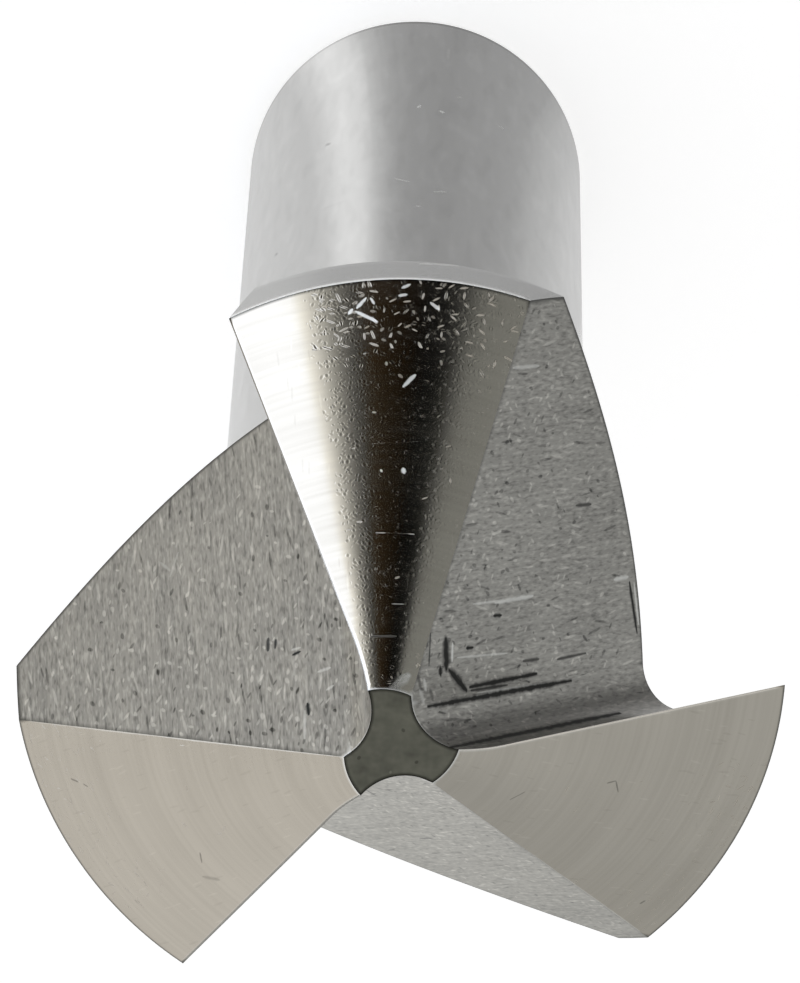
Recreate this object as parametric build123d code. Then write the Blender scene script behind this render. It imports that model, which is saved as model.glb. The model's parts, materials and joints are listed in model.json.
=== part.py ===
from build123d import *
from math import cos, radians, sin, tan
import os

# A three-flute countersink with a straight shank, in millimetres and degrees.
# It stands on the end face of its shank: the origin is the centre of that face, the axis
# is Z and the cutting tip points up. Directions round the axis are counter-clockwise as
# seen from the tip, and 0 is the outer corner of the first cutting edge, on +X. The bit
# turns counter-clockwise as seen from the tip, so each land trails clockwise.

# Sizes along and across the axis
overall_length = 63.0
shank_diameter = 10.0
shank_end_chamfer = 0.3
head_diameter = 20.5
margin_height = 2.2  # straight band round the head, below the corner of a cutting edge
back_angle = 58.0  # back of the head, measured from the axis
neck_radius = 0.8  # fillet between the back of the head and the shank

# Cutting cone
point_angle = 90.0  # both sides together
tip_flat_diameter = 3.36
relief_offset = 0.4  # each land is a cone whose axis stands this far ahead of its edge

# Flutes: straight V grooves with a rounded root, one before each land
flute_count = 3
flute_angle = 76.2  # between the rake face and the wall, square to the groove
flute_root_radius = 1.25
flute_lean = 26.8  # of the groove from the axis, outwards and down
flute_heading = -18.1  # direction in which the groove runs outwards
flute_roll = 102.2  # turn of the V about the groove
flute_root_x = 0.633  # where the two faces would meet in the plane of the tip
flute_root_y = -0.463

head_radius = head_diameter / 2
shank_radius = shank_diameter / 2
tip_flat_radius = tip_flat_diameter / 2
pitch = 360 / flute_count
slope = tan(radians(point_angle / 2))

margin_top = overall_length - (head_radius - tip_flat_radius) / slope
margin_bottom = margin_top - margin_height
neck_height = margin_bottom - (head_radius - shank_radius) / tan(radians(back_angle))
far = 3 * head_radius  # safely outside the head on every side


def turned_blank():
    """Shank, back of the head and margin, carried up square to the plane of the tip."""
    outline = Polyline(
        (0, 0),
        (shank_radius - shank_end_chamfer, 0),
        (shank_radius, shank_end_chamfer),
        (shank_radius, neck_height),
        (head_radius, margin_bottom),
        (head_radius, overall_length),
        (0, overall_length),
        close=True,
    )
    profile = make_face(outline)
    neck = profile.vertices().sort_by_distance((shank_radius, neck_height, 0))[0]
    profile = fillet(neck, neck_radius)
    return revolve(Plane.XZ * profile, Axis.Z)


def relieved_cone():
    """Cone of the first land. Its axis stands ahead of the cutting edge, so the land
    drops away steadily behind that edge."""
    cone = Cone(
        bottom_radius=tip_flat_radius + slope * overall_length,
        top_radius=tip_flat_radius,
        height=overall_length,
        align=(Align.CENTER, Align.CENTER, Align.MIN),
    )
    return Pos(0, relief_offset, 0) * cone


def sector():
    """The first land's share of the turn, from the middle of one flute to the next."""
    seam = pitch / 3
    return Rot(Z=seam - pitch) * Cylinder(far, overall_length, arc_size=pitch, align=None)


def flute_cutter():
    """Groove before the first cutting edge, cut right through the head."""
    half_angle = radians(flute_angle / 2)
    outline = Polyline(
        (0, 0),
        (far * cos(half_angle), far * sin(half_angle)),
        (far * cos(half_angle), -far * sin(half_angle)),
        close=True,
    )
    profile = make_face(outline)
    root = profile.vertices().sort_by_distance((0, 0, 0))[0]
    profile = fillet(root, flute_root_radius)
    groove = extrude(profile, far, both=True)
    turned = Rot(Z=flute_heading) * Rot(Y=180 - flute_lean) * Rot(Z=flute_roll) * groove
    return Pos(flute_root_x, flute_root_y, overall_length) * turned


first_land = turned_blank() & relieved_cone() & sector()
turns = [Rot(Z=pitch * index) for index in range(flute_count)]
lands = [turn * first_land for turn in turns]
flutes = [turn * flute_cutter() for turn in turns]
countersink_bit = Part() + lands - flutes

os.makedirs("parts", exist_ok=True)
export_step(countersink_bit, "parts/countersink_bit.step")
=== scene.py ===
"""Three-flute countersink bit, ground all over, standing on the end of its shank.

The bit is cut here as it is cut in the shop. A turned blank gets its three relieved lands
and then its three V flutes, and every face is given the finish that its own tool leaves.
Lengths in the classes are millimetres and angles are degrees. Meshes are in metres.
"""

import json
import logging
import math
from dataclasses import dataclass, field
from enum import IntEnum

import bmesh
import bpy
from mathutils import Matrix, Vector
from mathutils.geometry import delaunay_2d_cdt

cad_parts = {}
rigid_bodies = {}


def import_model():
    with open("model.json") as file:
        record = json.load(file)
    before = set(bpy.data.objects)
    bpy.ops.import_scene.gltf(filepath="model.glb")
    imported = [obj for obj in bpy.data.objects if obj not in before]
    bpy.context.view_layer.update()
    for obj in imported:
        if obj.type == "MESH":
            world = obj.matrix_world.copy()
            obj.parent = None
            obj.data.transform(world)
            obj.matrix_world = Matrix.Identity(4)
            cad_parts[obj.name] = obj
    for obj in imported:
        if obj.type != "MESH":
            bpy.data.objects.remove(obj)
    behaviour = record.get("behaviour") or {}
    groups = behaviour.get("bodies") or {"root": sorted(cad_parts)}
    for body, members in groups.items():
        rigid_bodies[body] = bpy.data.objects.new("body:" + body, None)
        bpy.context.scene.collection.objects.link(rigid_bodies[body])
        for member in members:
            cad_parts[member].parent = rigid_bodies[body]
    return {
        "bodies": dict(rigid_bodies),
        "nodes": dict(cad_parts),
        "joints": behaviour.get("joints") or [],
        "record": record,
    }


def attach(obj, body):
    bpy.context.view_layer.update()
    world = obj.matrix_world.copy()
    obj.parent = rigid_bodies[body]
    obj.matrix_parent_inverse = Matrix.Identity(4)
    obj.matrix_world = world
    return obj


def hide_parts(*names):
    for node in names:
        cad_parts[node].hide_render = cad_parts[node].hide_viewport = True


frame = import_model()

MM = 0.001
NODE = "countersink_bit"
BODY = "root"
TINY = 1e-12

FLOAT, VECTOR, COLOUR = "NodeSocketFloat", "NodeSocketVector", "NodeSocketColor"

Socket = bpy.types.NodeSocket
Tree = bpy.types.NodeTree
Tint = tuple[float, float, float]
Point = tuple[float, float, float]
Span = tuple[float, float]

log = logging.getLogger("countersink")


class Surface(IntEnum):
    """Part of the bit that a face belongs to, or WASTE for the idle sides of a tool."""

    SHANK_END = 0
    SHANK = 1
    BACK = 2
    MARGIN = 3
    TIP = 4
    LAND = 5
    WALL = 6
    ROOT = 7
    RAKE = 8
    WASTE = 9


# ---------------------------------------------------------------- small helpers


def polar(radius: float, angle: float, height: float = 0.0) -> Vector:
    """Point at a radius and an angle in degrees round Z.

    Args:
        radius: Distance from the axis.
        angle: Degrees, counter-clockwise from +X.
        height: Height along Z.

    Returns:
        The point, in the units it was given in.
    """
    turn = math.radians(angle)
    return Vector((radius * math.cos(turn), radius * math.sin(turn), height))


def rounded_corner(before: Vector, corner: Vector, after: Vector,
                   radius: float, steps: int) -> list[Vector]:
    """Points of the arc that rounds a corner of an outline.

    Args:
        before: A point on the run that leads to the corner.
        corner: The sharp corner.
        after: A point on the run that leaves it.
        radius: Radius of the rounding.
        steps: Number of chords in the arc.

    Returns:
        Points from one tangent point to the other.
    """
    first = (before - corner).normalized()
    second = (after - corner).normalized()
    half = first.angle(second) / 2
    centre = corner + (first + second).normalized() * radius / math.sin(half)
    start = corner + first * radius / math.tan(half) - centre
    end = corner + second * radius / math.tan(half) - centre
    sweep = start.angle(end)
    points = []
    for step in range(steps + 1):
        share = step / steps
        near = math.sin((1 - share) * sweep) / math.sin(sweep)
        far = math.sin(share * sweep) / math.sin(sweep)
        points.append(centre + start * near + end * far)
    return points


def mesh_object(name: str, points: list[Vector], faces: list[list[int]],
                kinds: list[Surface]) -> bpy.types.Object:
    """Object from points in millimetres, with the kind of each face stored on it.

    Args:
        name: Name of the object and its mesh.
        points: Corner points in millimetres.
        faces: Corner numbers of each face.
        kinds: Kind of each face.

    Returns:
        The linked object, at the origin, with its normals pointing out.
    """
    mesh = bpy.data.meshes.new(name)
    mesh.from_pydata([tuple(point * MM) for point in points], [], faces)
    stored = mesh.attributes.new("surface", "INT", "FACE")
    stored.data.foreach_set("value", [int(kind) for kind in kinds])
    shell = bmesh.new()
    shell.from_mesh(mesh)
    bmesh.ops.recalc_face_normals(shell, faces=shell.faces)
    shell.to_mesh(mesh)
    shell.free()
    piece = bpy.data.objects.new(name, mesh)
    bpy.context.scene.collection.objects.link(piece)
    return piece


# ---------------------------------------------------------------- shape


@dataclass
class TurnedBlank:
    """Shank, neck, back of the head and margin, turned in one piece."""

    overall_length: float = 63.0
    shank_diameter: float = 10.0
    shank_end_chamfer: float = 0.3
    end_ring: float = 0.35
    head_diameter: float = 20.5
    margin_height: float = 2.2
    back_angle: float = 58.0
    neck_radius: float = 0.8
    neck_steps: int = 8
    point_angle: float = 90.0
    tip_flat_diameter: float = 3.36
    facets: int = 288

    @property
    def head_radius(self) -> float:
        """Radius of the head."""
        return self.head_diameter / 2

    @property
    def slope(self) -> float:
        """Rise of the cutting cone's radius for each millimetre down from the tip."""
        return math.tan(math.radians(self.point_angle / 2))

    @property
    def margin_top(self) -> float:
        """Height of the outer corners of the cutting edges."""
        return self.overall_length - (self.head_radius - self.tip_flat_diameter / 2) / self.slope

    @property
    def margin_bottom(self) -> float:
        """Height where the straight margin meets the back of the head."""
        return self.margin_top - self.margin_height

    def outline(self) -> list[tuple[Vector, Surface]]:
        """Outline of the blank from the shank end up.

        Returns:
            Points as (radius, 0, height), each with the kind of face that starts there.
        """
        shank = self.shank_diameter / 2
        rise = (self.head_radius - shank) / math.tan(math.radians(self.back_angle))
        neck = Vector((shank, 0, self.margin_bottom - rise))
        rim = Vector((self.head_radius, 0, self.margin_bottom))
        low = Vector((shank, 0, self.shank_end_chamfer))
        rounding = rounded_corner(low, neck, rim, self.neck_radius, self.neck_steps)
        points = [(Vector((shank - self.shank_end_chamfer, 0, 0)), Surface.SHANK_END)]
        points.append((low, Surface.SHANK))
        # A second ring end_ring higher, over which the painted shade line at the shank's end fades
        # out.
        points.append((low + Vector((0, 0, self.end_ring)), Surface.SHANK))
        points += [(point, Surface.BACK) for point in rounding]
        points.append((rim, Surface.MARGIN))
        points.append((Vector((self.head_radius, 0, self.overall_length)), Surface.TIP))
        return points

    def build(self) -> bpy.types.Object:
        """Revolve the outline.

        Returns:
            A closed blank whose top is square to the axis.
        """
        outline = self.outline()
        points, faces, kinds = [], [], []
        for corner, _ in outline:
            for facet in range(self.facets):
                points.append(polar(corner.x, 360 * (facet + 0.5) / self.facets, corner.z))
        for ring, (_, kind) in enumerate(outline[:-1]):
            base = ring * self.facets
            for facet in range(self.facets):
                after = (facet + 1) % self.facets
                faces.append([base + facet, base + after,
                              base + self.facets + after, base + self.facets + facet])
                kinds.append(kind)
        faces.append(list(range(self.facets))[::-1])
        kinds.append(Surface.SHANK_END)
        faces.append([len(points) - self.facets + facet for facet in range(self.facets)])
        kinds.append(Surface.TIP)
        return mesh_object("turned_blank", points, faces, kinds)


@dataclass
class ReliefTool:
    """All that the grinding wheel takes off above one relieved land."""

    blank: TurnedBlank
    relief_offset: float = 0.4
    seam: float = 40.0
    pitch: float = 120.0
    clearance: float = 2.0
    overshoot: float = 0.8
    outer_share: float = 1.5
    facets: int = 58

    def build(self) -> bpy.types.Object:
        """Make the tool as a ring sector whose inner side is the cone of the first land.

        Returns:
            The closed tool body.
        """
        blank = self.blank
        tip_radius = blank.tip_flat_diameter / 2
        low = blank.margin_top - self.overshoot
        high = blank.overall_length + self.overshoot
        inner_low = tip_radius + (blank.overall_length - low) * blank.slope
        inner_high = tip_radius + (blank.overall_length - high) * blank.slope
        outer = blank.head_radius * self.outer_share
        start = self.seam - self.pitch + self.clearance
        sweep = self.pitch - 2 * self.clearance
        axis = Vector((0, self.relief_offset, 0))
        points, faces, kinds = [], [], []
        for facet in range(self.facets + 1):
            turn = start + sweep * facet / self.facets
            for radius, height in ((inner_low, low), (inner_high, high),
                                   (outer, high), (outer, low)):
                points.append(axis + polar(radius, turn, height))
        for facet in range(self.facets):
            base = 4 * facet
            for side, kind in enumerate((Surface.LAND,) + (Surface.WASTE,) * 3):
                after = (side + 1) % 4
                faces.append([base + side, base + after, base + 4 + after, base + 4 + side])
                kinds.append(kind)
        last = 4 * self.facets
        faces += [[0, 1, 2, 3], [last + 3, last + 2, last + 1, last]]
        kinds += [Surface.WASTE, Surface.WASTE]
        return mesh_object("relief_tool", points, faces, kinds)


@dataclass
class FluteTool:
    """Formed wheel that cuts one V flute with a rounded root."""

    blank: TurnedBlank
    flute_angle: float = 76.2
    root_radius: float = 1.25
    lean: float = 26.8
    heading: float = -18.1
    roll: float = 102.2
    root_x: float = 0.633
    root_y: float = -0.463
    facets: int = 26

    @property
    def far(self) -> float:
        """Distance that is safely outside the head on every side."""
        return 3 * self.blank.head_radius

    def place(self) -> Matrix:
        """Where the wheel's own frame stands on the bit.

        Returns:
            The frame, in millimetres.
        """
        turned = (
            Matrix.Rotation(math.radians(self.heading), 4, "Z")
            @ Matrix.Rotation(math.radians(180 - self.lean), 4, "Y")
            @ Matrix.Rotation(math.radians(self.roll), 4, "Z")
        )
        root = Vector((self.root_x, self.root_y, self.blank.overall_length))
        return Matrix.Translation(root) @ turned

    def outline(self) -> list[tuple[Vector, Surface]]:
        """The V with its rounded root, from the end of one side to the end of the other.

        Returns:
            Points in the wheel's own XY plane, each with the kind of face that starts there.
        """
        half = self.flute_angle / 2
        first, second = polar(self.far, -half), polar(self.far, half)
        rounding = rounded_corner(first, Vector(), second, self.root_radius, self.facets)
        points = [(first, Surface.WALL)]
        points += [(point, Surface.ROOT) for point in rounding[:-1]]
        points += [(rounding[-1], Surface.RAKE), (second, Surface.WASTE)]
        return points

    def build(self) -> bpy.types.Object:
        """Run the outline along the groove, right through the head.

        Returns:
            The closed tool body.
        """
        outline = self.outline()
        place = self.place()
        count = len(outline)
        points = [place @ (corner + Vector((0, 0, end)))
                  for end in (-self.far, self.far) for corner, _ in outline]
        faces = [list(range(count))[::-1], list(range(count, 2 * count))]
        kinds = [Surface.WASTE, Surface.WASTE]
        for side, (_, kind) in enumerate(outline):
            after = (side + 1) % count
            faces.append([side, after, count + after, count + side])
            kinds.append(kind)
        return mesh_object("flute_tool", points, faces, kinds)


# ---------------------------------------------------------------- faces laid out flat


def turned_by(angle: float, around: float) -> float:
    """Angle in radians, brought to within half a turn of another one."""
    return around + (angle - around + math.pi) % math.tau - math.pi


@dataclass
class FlatSheet:
    """A flat face, measured along two directions in its own plane."""

    frame: Matrix
    step: Span

    def flatten(self, point: Vector) -> Vector:
        """Place of a point on the sheet."""
        return (self.frame.inverted() @ point).to_2d()

    def lift(self, flat: Vector) -> Vector:
        """Point of the bit for a place on the sheet."""
        return self.frame @ Vector((flat.x, flat.y, 0))

    def lay(self, flat: Vector) -> tuple[float, float]:
        """Distances along and across the tool marks."""
        return flat.x, flat.y

    def spots(self, low: Vector, high: Vector) -> list[Vector]:
        """Even spots over a rectangle of the sheet.

        Args:
            low: Lowest corner.
            high: Highest corner.

        Returns:
            Spots one step apart, every other row moved by half a step.
        """
        made = []
        rows = int((high.y - low.y) / self.step[1])
        columns = int((high.x - low.x) / self.step[0])
        for row in range(1, rows + 1):
            for column in range(columns + 1):
                along = low.x + (column + row % 2 / 2) * self.step[0]
                made.append(Vector((along, low.y + row * self.step[1])))
        return made


@dataclass
class DrumSheet(FlatSheet):
    """A round face, unrolled from a cylinder about the frame's Z axis."""

    radius: float = 1.0
    middle: float = 0.0

    def flatten(self, point: Vector) -> Vector:
        """Place of a point on the sheet.

        Args:
            point: Point of the bit, in millimetres.

        Returns:
            Its place on the sheet laid out flat.
        """
        local = self.frame.inverted() @ point
        turn = turned_by(math.atan2(local.y, local.x), self.middle) - self.middle
        return Vector((local.z, self.radius * turn))

    def lift(self, flat: Vector) -> Vector:
        """Point of the bit for a place on the sheet."""
        turn = self.middle + flat.y / self.radius
        return self.frame @ polar(self.radius, math.degrees(turn), flat.x)


@dataclass
class RimSheet(DrumSheet):
    """The margin, unrolled, with its tool marks running round the head."""

    def lay(self, flat: Vector) -> tuple[float, float]:
        """Distances along and across the tool marks."""
        return flat.y, flat.x


@dataclass
class ConeSheet(DrumSheet):
    """A relieved land, unrolled from a cone with its apex at the frame's origin."""

    half_angle: float = math.pi / 4
    mean_reach: float = 8.0
    turn_step: float = 2.5
    nearest: float = 0.5

    def flatten(self, point: Vector) -> Vector:
        """Place of a point on the sheet.

        Args:
            point: Point of the bit, in millimetres.

        Returns:
            Its place on the sheet laid out flat.
        """
        local = self.frame.inverted() @ point
        turn = turned_by(math.atan2(local.y, local.x), self.middle) - self.middle
        reach = -local.z / math.cos(self.half_angle)
        return polar(reach, math.degrees(turn * math.sin(self.half_angle))).to_2d()

    def lift(self, flat: Vector) -> Vector:
        """Point of the bit for a place on the sheet.

        Args:
            flat: Place on the sheet laid out flat.

        Returns:
            The point, in millimetres.
        """
        turn = self.middle + math.atan2(flat.y, flat.x) / math.sin(self.half_angle)
        around = flat.length * math.sin(self.half_angle)
        down = -flat.length * math.cos(self.half_angle)
        return self.frame @ polar(around, math.degrees(turn), down)

    def lay(self, flat: Vector) -> tuple[float, float]:
        """Distances along and across the tool marks, which are arcs about the apex."""
        return self.mean_reach * math.atan2(flat.y, flat.x), flat.length

    def spots(self, low: Vector, high: Vector) -> list[Vector]:
        """Spots on arcs about the apex that cover a rectangle of the sheet.

        Args:
            low: Lowest corner.
            high: Highest corner.

        Returns:
            Spots one step apart along and across the arcs.
        """
        made = []
        turn = math.radians(self.turn_step) * math.sin(self.half_angle)
        half = int(math.atan2(max(abs(low.y), abs(high.y)), self.nearest) / turn)
        for ring in range(1, int(high.length / self.step[0]) + 1):
            made += [polar(ring * self.step[0], math.degrees(turn * (count + ring % 2 / 2))).to_2d()
                     for count in range(-half, half)]
        return [spot for spot in made if low.x < spot.x < high.x and low.y < spot.y < high.y]


def gap_to_loop(spot: Vector, loop: list[Vector]) -> float:
    """Distance from a spot to a closed line of corners.

    Args:
        spot: The spot.
        loop: Corners of the line, in order.

    Returns:
        The shortest distance.
    """
    best = math.inf
    for count, corner in enumerate(loop):
        run = loop[count - 1] - corner
        share = (spot - corner).dot(run) / max(run.length_squared, TINY)
        best = min(best, (spot - corner - run * min(max(share, 0.0), 1.0)).length_squared)
    return math.sqrt(best)


def inside_loop(spot: Vector, loop: list[Vector]) -> bool:
    """Whether a spot lies inside a closed line of corners.

    Args:
        spot: The spot.
        loop: Corners of the line, in order.

    Returns:
        True if it lies inside.
    """
    inside = False
    for count, corner in enumerate(loop):
        before = loop[count - 1]
        if (corner.y > spot.y) != (before.y > spot.y):
            share = (spot.y - corner.y) / (before.y - corner.y)
            inside ^= spot.x < corner.x + share * (before.x - corner.x)
    return inside


# Width in millimetres of the band along each kind's edges. It carries the change of shading and the
# painted highlight or painted shade line of the edge tones.
EDGE_WIDTHS = {
    Surface.TIP: 0.1,
    Surface.LAND: 0.1,
    Surface.WALL: 0.14,
    Surface.MARGIN: 0.4,
}
FACET_STEPS = {
    Surface.TIP: (0.5, 0.5),
    Surface.LAND: (0.5, 0.5),
    Surface.WALL: (1.5, 1.5),
    Surface.RAKE: (1.5, 1.5),
    Surface.ROOT: (0.6, 0.11),
    Surface.MARGIN: (0.55, 0.36),
}
TRIANGLES_INSIDE = 1


@dataclass
class EvenFacets:
    """Lays even facets over a face, with a narrow band of them along its edges.

    The band carries the change of shading from one face to the next, as the tiny
    rounding of a ground edge does, so no face is shaded crooked by its neighbour. The
    shares are of the band's width.
    """

    band: float = 0.07
    shortest: float = 0.02
    longest: float = 0.5
    flattest: float = 0.002
    mitre_limit: float = 0.4
    clear_share: float = 0.8
    apart_share: float = 0.2
    inner_share: float = 2.0
    rounding: float = 1e-6
    wider: dict[Surface, float] = field(default_factory=lambda: dict(EDGE_WIDTHS))

    def split_borders(self, regions: list[list[bmesh.types.BMFace]]) -> None:
        """Cut the long borders between regions into short runs, which moves nothing.

        Args:
            regions: Faces of each region.
        """
        home = {face: number for number, region in enumerate(regions) for face in region}
        borders = dict.fromkeys(line for face in home for line in face.edges
                                if len({home[other] for other in line.link_faces}) > 1)
        for line in borders:
            start = line.verts[0]
            for left in range(math.ceil(line.calc_length() / (self.longest * MM)), 1, -1):
                _, start = bmesh.utils.edge_split(line, start, 1 / left)

    def region_loop(self, faces: list[bmesh.types.BMFace]) -> list[bmesh.types.BMVert] | None:
        """Corners of the edge of a region, in order.

        Args:
            faces: Faces of the region.

        Returns:
            The corners, or None if the region has more than one edge loop.
        """
        members = set(faces)
        after = {}
        for face in faces:
            for loop in face.loops:
                if not all(other in members for other in loop.edge.link_faces):
                    after[loop.vert] = loop.link_loop_next.vert
        start = next(iter(after))
        ordered, corner = [start], after[start]
        while corner is not start and corner in after and len(ordered) <= len(after):
            ordered.append(corner)
            corner = after[corner]
        return ordered if len(ordered) == len(after) else None

    def refit(self, shell: bmesh.types.BMesh, faces: list[bmesh.types.BMFace],
              sheet: FlatSheet, kind: int) -> list[bmesh.types.BMFace]:
        """Replace the facets of one region.

        Args:
            shell: The whole bit.
            faces: Faces of the region.
            sheet: The region's flat layout.
            kind: Kind of face to store on the new facets.

        Returns:
            The new facets, or the old ones if the region can't be laid out.
        """
        corners = self.region_loop(faces)
        if corners is None:
            return faces
        loop = [sheet.flatten(corner.co / MM) for corner in corners]
        area = sum(loop[count - 1].cross(corner) for count, corner in enumerate(loop))
        inward = 1.0 if area > 0 else -1.0
        spots, edges = list(loop), []
        band = self.wider.get(kind, self.band)
        last = None
        for count, corner in enumerate(loop):
            before = (corner - loop[count - 1]).normalized()
            run = (before + (loop[(count + 1) % len(loop)] - corner).normalized()).normalized()
            reach = band * inward / max(run.dot(before), self.mitre_limit)
            spot = corner + Vector((-run.y, run.x)) * reach
            if not inside_loop(spot, loop) or gap_to_loop(spot, loop) < self.clear_share * band:
                last = None
                continue
            if last is not None and (spots[last] - spot).length < self.apart_share * band:
                continue
            spots.append(spot)
            if last is not None:
                edges.append((last, len(spots) - 1))
            last = len(spots) - 1
        low = Vector((min(spot.x for spot in loop), min(spot.y for spot in loop)))
        high = Vector((max(spot.x for spot in loop), max(spot.y for spot in loop)))
        spots += [spot for spot in sheet.spots(low, high)
                  if inside_loop(spot, loop) and gap_to_loop(spot, loop) > self.inner_share * band]
        flat, _, facets, sources, _, _ = delaunay_2d_cdt(
            spots, edges, [list(range(len(loop)))], TRIANGLES_INSIDE, self.rounding)
        if len(flat) != len(spots) or any(source != [count]
                                          for count, source in enumerate(sources)):
            log.info("region of %d faces kept as cut", len(faces))
            return faces
        stored = shell.faces.layers.int["surface"]
        slot = faces[0].material_index
        bmesh.ops.delete(shell, geom=faces, context="FACES_KEEP_BOUNDARY")
        points = list(corners)
        points += [shell.verts.new(sheet.lift(spot) * MM) for spot in spots[len(loop):]]
        made = []
        for facet in facets:
            face = shell.faces.new([points[count] for count in facet])
            face[stored] = kind
            face.material_index = slot
            made.append(face)
        return made


# ---------------------------------------------------------------- node helpers


def add_node(tree: Tree, kind: str, inputs: dict | None = None,
             **settings: object) -> bpy.types.Node:
    """Add a node, set its properties, and set or link its inputs.

    Args:
        tree: Tree that gets the node.
        kind: Type name of the node.
        inputs: Values or output sockets, by input name or number.
        settings: Properties of the node.

    Returns:
        The node.
    """
    node = tree.nodes.new(kind)
    for name, value in settings.items():
        setattr(node, name, value)
    for key, value in (inputs or {}).items():
        if isinstance(value, Socket):
            tree.links.new(value, node.inputs[key])
        else:
            node.inputs[key].default_value = value
    return node


def sum_up(tree: Tree, kind: str, *values: float | Socket) -> Socket:
    """Math node of one kind.

    Args:
        tree: Tree that gets the node.
        kind: Operation, such as ADD.
        values: Numbers or output sockets, in order.

    Returns:
        The node's output.
    """
    return add_node(tree, "ShaderNodeMath", dict(enumerate(values)), operation=kind).outputs[0]


def spread(tree: Tree, value: Socket, low: float, high: float,
           to_low: float = 0.0, to_high: float = 1.0) -> Socket:
    """Map one range of a value onto another, clamped.

    Args:
        tree: Tree that gets the node.
        value: Output to map.
        low: Value that becomes to_low.
        high: Value that becomes to_high.
        to_low: Result at low.
        to_high: Result at high.

    Returns:
        The mapped value.
    """
    inputs = {"Value": value, "From Min": low, "From Max": high,
              "To Min": to_low, "To Max": to_high}
    return add_node(tree, "ShaderNodeMapRange", inputs).outputs["Result"]


def blend_colours(tree: Tree, share: float | Socket, first: tuple | Socket,
                  second: tuple | Socket) -> Socket:
    """Mix two colours.

    Args:
        tree: Tree that gets the node.
        share: How much of the second colour shows.
        first: Colour or output socket.
        second: Colour or output socket.

    Returns:
        The mixed colour.
    """
    node = add_node(tree, "ShaderNodeMix", {0: share, 6: first, 7: second}, data_type="RGBA")
    return node.outputs[2]


def new_material(name: str) -> tuple[bpy.types.Material, Tree]:
    """Material whose tree is still empty.

    Args:
        name: Name of the material.

    Returns:
        The material and its tree.
    """
    made = bpy.data.materials.new(name)
    made.use_nodes = True
    made.node_tree.nodes.clear()
    return made, made.node_tree


def new_group(name: str, inputs: dict[str, str], outputs: dict[str, str],
              kind: str = "ShaderNodeTree") -> Tree:
    """Empty node group with named sockets.

    Args:
        name: Name of the group.
        inputs: Socket types by name.
        outputs: Socket types by name.
        kind: Type of tree.

    Returns:
        The group, with its input and output nodes placed.
    """
    tree = bpy.data.node_groups.new(name, kind)
    for socket, socket_type in inputs.items():
        tree.interface.new_socket(socket, in_out="INPUT", socket_type=socket_type)
    for socket, socket_type in outputs.items():
        tree.interface.new_socket(socket, in_out="OUTPUT", socket_type=socket_type)
    tree.nodes.new("NodeGroupInput").name = "in"
    tree.nodes.new("NodeGroupOutput").name = "out"
    return tree


LINES_SPAN = (0.28, 0.72)
CLOUD_SPAN = (0.3, 0.7)
BRIGHT_GRAIN_SPAN = (0.56, 0.72)
DARK_GRAIN_SPAN = (0.44, 0.28)
STROKE_SPAN = (1.0, 0.35)
STROKE_SIZES = (0.5, 1.0)
HOLLOW_SPAN = (1.0, 0.0)
SECOND_DRAW = 13.7
SCRATCH_SPAN = (1.0, 0.3)
TAPER_SPAN = (0.0, 0.15)
TAPER_WIDTHS = (0.3, 0.6)


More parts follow.
